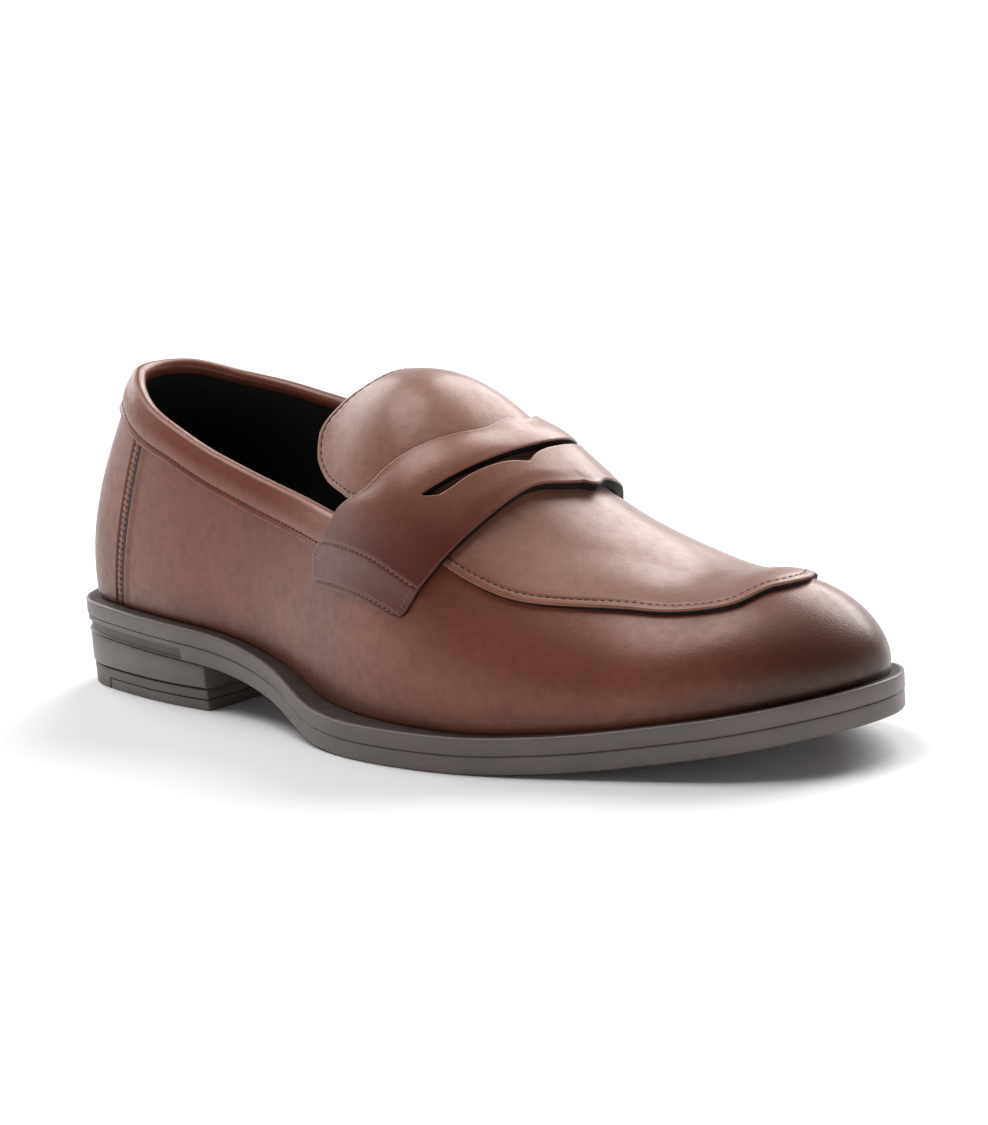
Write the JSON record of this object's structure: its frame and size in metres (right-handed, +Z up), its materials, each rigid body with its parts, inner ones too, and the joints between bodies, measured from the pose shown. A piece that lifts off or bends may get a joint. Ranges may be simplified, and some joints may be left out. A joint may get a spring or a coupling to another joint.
{
  "type": "penny loafer",
  "caption": "Slip-on leather shoe with a raised apron, a slotted saddle strap, a rounded tongue and a low stacked heel.",
  "frame": {"origin": "centre of the shoe's footprint box, on the floor", "axes": "+X towards the toe, +Y towards the inner (medial) side, +Z up"},
  "size_m": [0.2998, 0.1084, 0.1046],
  "materials": {
    "upper_leather": "satin, fine grain, darker burnish at the toe",
    "collar_leather": "satin, lighter and redder at the rolled edge",
    "lining": "matt black",
    "sole_rubber": "matt grey brown",
    "lift_rubber": "matt grey brown, darker",
    "fibre_board": "matt",
    "cork": "matt",
    "foam": "matt",
    "steel": "brushed",
    "thread": "waxed"
  },
  "bodies": {
    "shoe": {"skirt": "upper_leather", "heel_panel": "upper_leather", "apron": "upper_leather", "saddle_strap": "upper_leather", "collar_band": "collar_leather", "collar_padding": "foam", "quarter_lining": "lining", "vamp_lining": "lining", "sock_liner": "lining", "heel_counter": "fibre_board", "toe_puff": "fibre_board", "insole_board": "fibre_board", "outsole": "sole_rubber", "midsole": "sole_rubber", "heel_block": "sole_rubber", "heel_top_lift": "lift_rubber", "heel_lift_insert": "lift_rubber", "shank": "steel", "cork_filler": "cork", "heel_cushion": "foam", "heel_nail_1": "steel", "heel_nail_2": "steel", "heel_nail_3": "steel", "heel_nail_4": "steel", "heel_nail_5": "steel", "shank_rivet_1": "steel", "shank_rivet_2": "steel"},
    "tongue": {"tongue": "upper_leather", "tongue_lining": "lining"}
  },
  "joints": [
    {"name": "tongue_flex", "type": "hinge", "parent": "shoe", "child": "tongue", "pos_m": [0.0283, 0, 0.0872], "axis": [0, 1, 0], "range_deg": [-5, 28], "stiffness_Nm_per_rad": 0.02}
  ]
}
